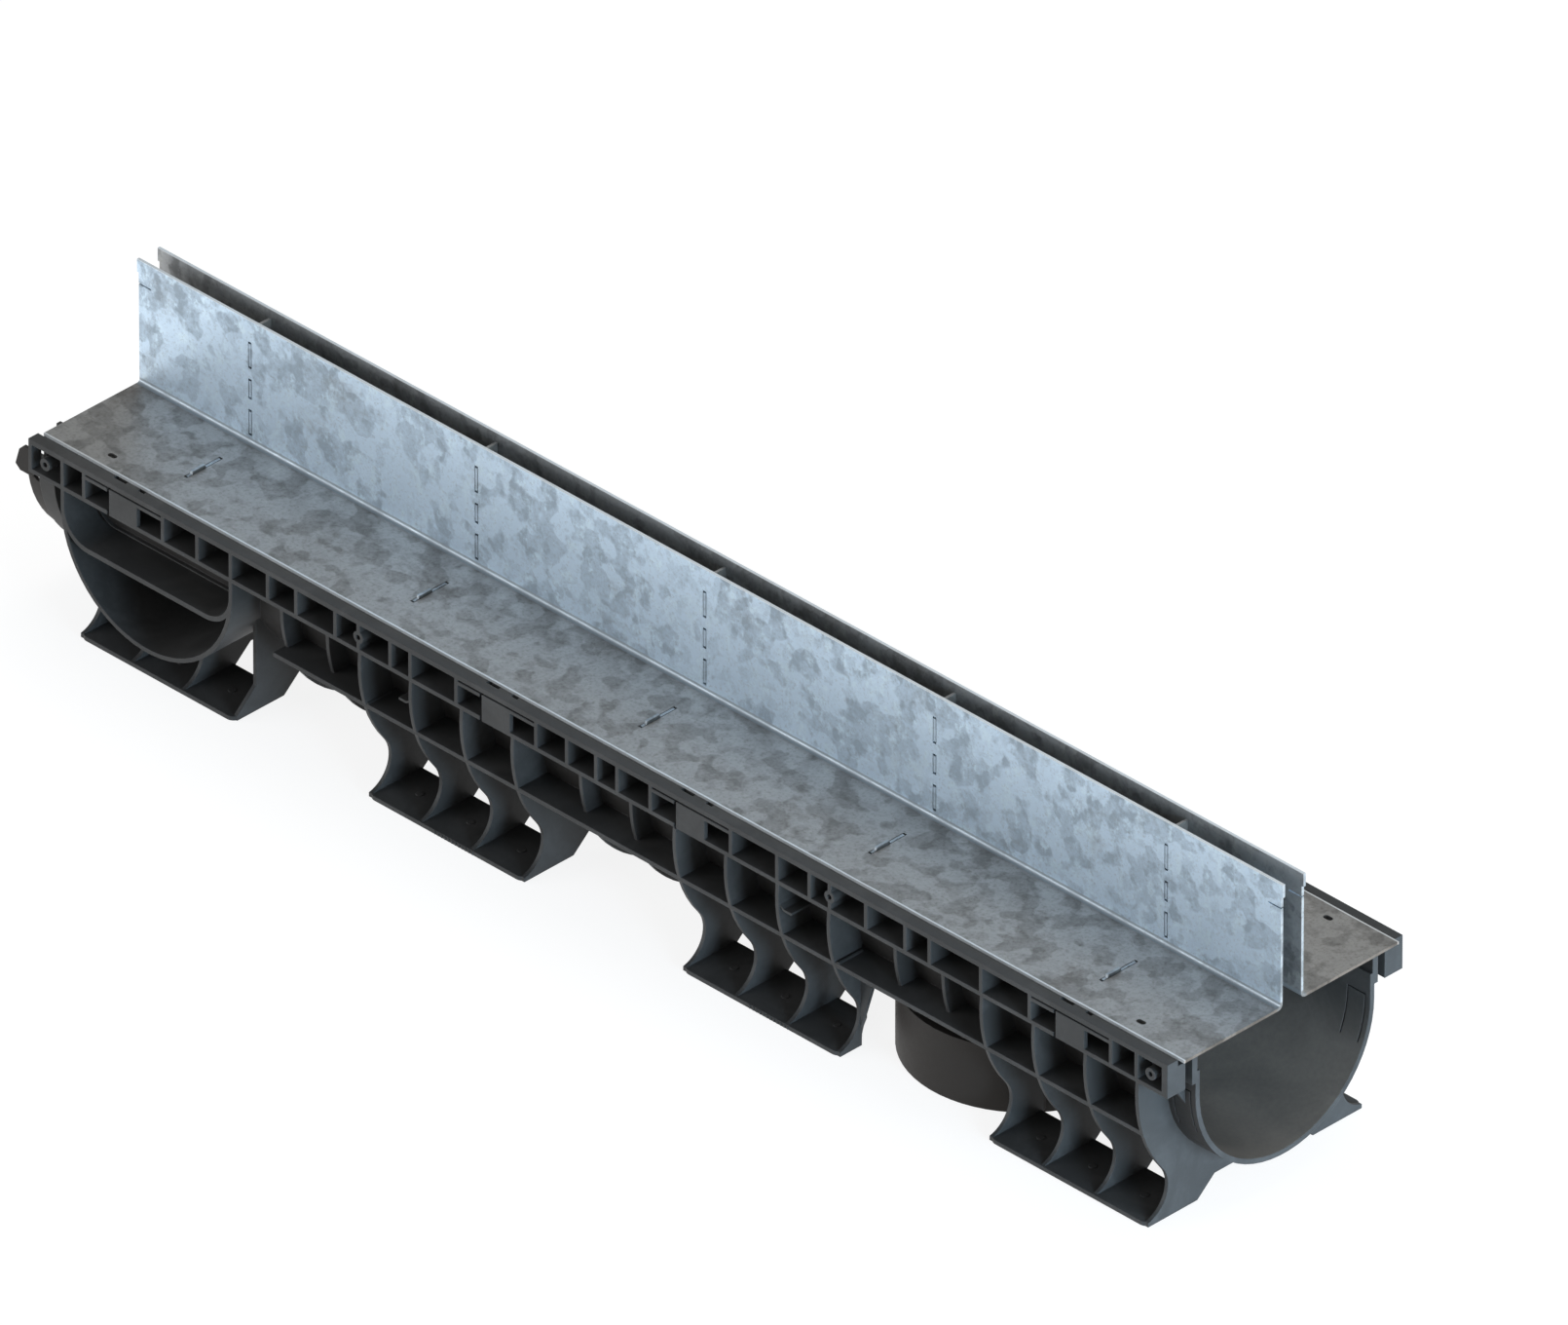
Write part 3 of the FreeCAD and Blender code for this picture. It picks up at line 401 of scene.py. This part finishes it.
# what repeats on the moulding, grown by Geometry Nodes
class Grower:
    def __init__(self, name, sizes):
        self.name = name
        self.sizes = sizes
        self.tree = bpy.data.node_groups.new(name, "GeometryNodeTree")
        face = self.tree.interface
        shape = "NodeSocketGeometry"
        face.new_socket(name="Geometry", in_out="INPUT", socket_type=shape)
        self.sockets = {}
        for label, value in sizes.items():
            kind = "NodeSocketInt" if isinstance(value, int) else "NodeSocketFloat"
            self.sockets[label] = face.new_socket(name=label, in_out="INPUT", socket_type=kind)
        face.new_socket(name="Geometry", in_out="OUTPUT", socket_type=shape)
        self.entry = self.tree.nodes.new("NodeGroupInput")

    def size(self, label):
        return self.entry.outputs[label]

    def add(self, kind, settings=None, inputs=None, output=0):
        node = self.tree.nodes.new(kind)
        for name, value in (settings or {}).items():
            setattr(node, name, value)
        for name, value in (inputs or {}).items():
            if isinstance(value, bpy.types.NodeSocket):
                self.tree.links.new(value, node.inputs[name])
            else:
                node.inputs[name].default_value = value
        return node.outputs[output]

    # the shape stands on each of the points, and the result is kept as a plain mesh
    def grow(self, shape, points, material, slot):
        stands = {"Points": self.entry.outputs["Geometry"], "Instance": shape}
        copies = self.add("GeometryNodeInstanceOnPoints", None, stands)
        whole = self.add("GeometryNodeRealizeInstances", None, {"Geometry": copies})
        paint = {"Geometry": whole, "Material": material}
        painted = self.add("GeometryNodeSetMaterial", None, paint)
        self.tree.links.new(painted, self.tree.nodes.new("NodeGroupOutput").inputs[0])
        seed = bpy.data.meshes.new(self.name + "Points")
        seed.from_pydata(points, [], [])
        carrier = bpy.data.objects.new(self.name + "Carrier", seed)
        bpy.context.scene.collection.objects.link(carrier)
        modifier = carrier.modifiers.new("grow", "NODES")
        modifier.node_group = self.tree
        for label, value in self.sizes.items():
            modifier[self.sockets[label].identifier] = value
        bpy.context.view_layer.update()
        ready = carrier.evaluated_get(bpy.context.evaluated_depsgraph_get())
        mesh = bpy.data.meshes.new_from_object(ready)
        bpy.data.objects.remove(carrier)
        piece = bpy.data.objects.new(self.name, mesh)
        bpy.context.scene.collection.objects.link(piece)
        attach(piece, "root")
        print(self.name, len(mesh.polygons), "faces")


# the moulding's foot plates, in metres
feet = {
    "centres": (-0.38025, -0.12475, 0.15125, 0.41775),    # along the channel
    "outer": 0.0945,        # from the channel's middle to a plate's outer edge
    "middle": 0.0725,       # and to its middle
    "plate": 0.003,
    "bay": 0.04473,         # between the middles of two bays on a plate
}
flutes = {"Count": 12, "Pitch": 0.003, "Radius": 0.0007, "Height": 0.0022, "Sides": 10}
flutesAside = 0.0076        # how far the flutes' middle lies from the foot's
pinMarks = {"Radius": 0.0028, "Height": 0.0003, "Taper": 0.93, "Sides": 24}


def gripFlutes():
    grower = Grower("gripFlutes", flutes)
    step = grower.add("ShaderNodeCombineXYZ", None, {"X": grower.size("Pitch")})
    line = {"Count": grower.size("Count"), "Offset": step}
    row = grower.add("GeometryNodeMeshLine", None, line)
    bar = grower.add(
        "GeometryNodeMeshCylinder",
        {"fill_type": "TRIANGLE_FAN"},
        {
            "Vertices": grower.size("Sides"),
            "Radius": grower.size("Radius"),
            "Depth": grower.size("Height"),
        },
    )
    bars = grower.add("GeometryNodeInstanceOnPoints", None, {"Points": row, "Instance": bar})
    half = flutes["Pitch"] * (flutes["Count"] - 1) / 2
    starts = [
        (centre + flutesAside - half, side * feet["outer"], feet["plate"] / 2)
        for centre in feet["centres"][1:3]
        for side in (-1, 1)
    ]
    grower.grow(bars, starts, plasticMaterial, "plastic")


def ejectorMarks():
    grower = Grower("ejectorMarks", pinMarks)
    narrow = {0: grower.size("Radius"), 1: grower.size("Taper")}
    disc = grower.add(
        "GeometryNodeMeshCone",
        {"fill_type": "TRIANGLE_FAN"},
        {
            "Vertices": grower.size("Sides"),
            "Radius Top": grower.add("ShaderNodeMath", {"operation": "MULTIPLY"}, narrow),
            "Radius Bottom": grower.size("Radius"),
            "Depth": grower.size("Height"),
        },
    )
    bays = [
        (centre + bay * feet["bay"], side * feet["middle"], feet["plate"])
        for centre in feet["centres"]
        for bay in (-1, 0, 1)
        for side in (-1, 1)
    ]
    grower.grow(disc, bays, plasticMaterial, "plastic")


gripFlutes()
ejectorMarks()


# floor and light, in metres and watts
studio = {
    "floorSize": 60.0,
    "floorLift": -0.0006,
    "floor": (0.88, 0.88, 0.88, 1.0),
    "white": (1.0, 1.0, 1.0, 1.0),
    "shadow": 0.25,         # share of the real floor that the camera sees, which has the shadow
    "glow": 1.15,           # of the floor to the camera, just over white
    "front": (0.44, 0.455, 0.465, 1.0),
    "back": (0.66, 0.69, 0.70, 1.0),
    "strength": 1.15,
    "overheadDim": 0.45,
}
lamps = {
    "frontLeftPanel": {
        "place": (-5.1, -5.8, 1.7),
        "target": (0.0, 0.0, 0.12),
        "size": (6.4, 2.7),
        "power": 298.0,
        "colour": (0.95, 0.975, 1.0),
        "mirrored": True,   # shows in the metal
    },
    "rightPanel": {
        "place": (2.9, -0.25, 0.45),
        "target": (0.3, 0.0, 0.1),
        "size": (1.6, 0.9),
        "power": 156.0,
        "colour": (0.585, 0.80, 1.0),
        "mirrored": False,
    },
    "topPanel": {
        "place": (0.0, 0.5, 2.4),
        "target": (0.0, 0.0, 0.1),
        "size": (2.4, 1.4),
        "power": 14.0,
        "colour": (1.0, 0.95, 0.88),
        "mirrored": True,
    },
}


def lightPathSwitch(finish):
    camera = finish.add("ShaderNodeLightPath", output="Is Camera Ray")
    glossy = Wire(finish.tree, camera.socket.node.outputs["Is Glossy Ray"])
    through = Wire(finish.tree, camera.socket.node.outputs["Is Transmission Ray"])
    return camera, finish.limited(glossy + through)


def makeFloor():
    half = studio["floorSize"] / 2
    lift = studio["floorLift"]
    corners = [(-half, -half, lift), (half, -half, lift), (half, half, lift), (-half, half, lift)]
    mesh = bpy.data.meshes.new("floor")
    mesh.from_pydata(corners, [], [(0, 1, 2, 3)])
    floor = bpy.data.objects.new("floor", mesh)
    bpy.context.scene.collection.objects.link(floor)
    finish = Finish(bpy.data.materials.new("paleFloor"))
    camera, mirrored = lightPathSwitch(finish)
    matt = finish.add("ShaderNodeBsdfDiffuse", None, {"Color": studio["floor"]})
    strength = camera * (studio["glow"] - 1) + 1
    glow = {"Color": studio["white"], "Strength": strength}
    glow = finish.add("ShaderNodeEmission", None, glow)
    share = finish.limited(camera * (1 - studio["shadow"]) + mirrored)
    surface = finish.add("ShaderNodeMixShader", None, {0: share, 1: matt, 2: glow})
    mesh.materials.append(finish.close(surface))


# white to the camera, and to the object a soft studio: dim in front, brighter behind, dimmer
# overhead; metal mirrors white near the horizon
def makeWorld():
    world = bpy.data.worlds.new("studio")
    bpy.context.scene.world = world
    finish = Finish(world)
    camera, mirrored = lightPathSwitch(finish)
    y, z = finish.parts(finish.add("ShaderNodeTexCoord", output="Generated"))[1:]
    overhead = finish.step(z, 0.02, 0.45)
    colour = finish.blend(finish.step(y, -0.5, 0.5), studio["front"], studio["back"])
    soft = {"Color": colour, "Strength": studio["strength"] - overhead * studio["overheadDim"]}
    soft = finish.add("ShaderNodeBackground", None, soft)
    white = {"Color": studio["white"], "Strength": 1.0}
    white = finish.add("ShaderNodeBackground", None, white)
    share = finish.limited(camera + mirrored * (1 - overhead))
    both = finish.add("ShaderNodeMixShader", None, {0: share, 1: soft, 2: white})
    finish.add("ShaderNodeOutputWorld", None, {"Surface": both})


def makeLamps():
    for name, panel in lamps.items():
        data = bpy.data.lights.new(name, "AREA")
        data.shape = "RECTANGLE"
        data.size, data.size_y = panel["size"]
        data.energy = panel["power"]
        data.color = panel["colour"]
        lamp = bpy.data.objects.new(name, data)
        lamp.visible_glossy = panel["mirrored"]
        lamp.location = panel["place"]
        beam = Vector(panel["target"]) - Vector(panel["place"])
        lamp.rotation_euler = beam.to_track_quat("-Z", "Y").to_euler()
        bpy.context.scene.collection.objects.link(lamp)


# camera, in degrees, metres and mm of lens
view = {
    "azimuth": 45.0,
    "elevation": 33.2,
    "lens": 1200.0,
    "sensor": 36.0,
    "distance": 32.3,
    "near": 0.5,
    "far": 120.0,
    "middle": (0.0, 0.0, 0.1),      # a point of the object
    "right": 0.05476,               # from it to the picture's middle
    "up": 0.0379,
}


def makeCamera():
    azimuth = math.radians(view["azimuth"])
    elevation = math.radians(view["elevation"])
    flat = math.cos(elevation)
    back = Vector((math.sin(azimuth) * flat, -math.cos(azimuth) * flat, math.sin(elevation)))
    right = Vector((math.cos(azimuth), math.sin(azimuth), 0.0))
    up = back.cross(right)
    target = Vector(view["middle"]) + right * view["right"] + up * view["up"]
    data = bpy.data.cameras.new("camera")
    data.sensor_width = view["sensor"]
    data.lens = view["lens"]
    data.clip_start = view["near"]
    data.clip_end = view["far"]
    data.dof.use_dof = False
    camera = bpy.data.objects.new("camera", data)
    camera.location = target + back * view["distance"]
    camera.rotation_euler = (-back).to_track_quat("-Z", "Y").to_euler()
    bpy.context.scene.collection.objects.link(camera)
    bpy.context.scene.camera = camera


makeFloor()
makeWorld()
makeLamps()
makeCamera()
bpy.context.scene.view_settings.view_transform = "Standard"
print("floor, light and camera set")
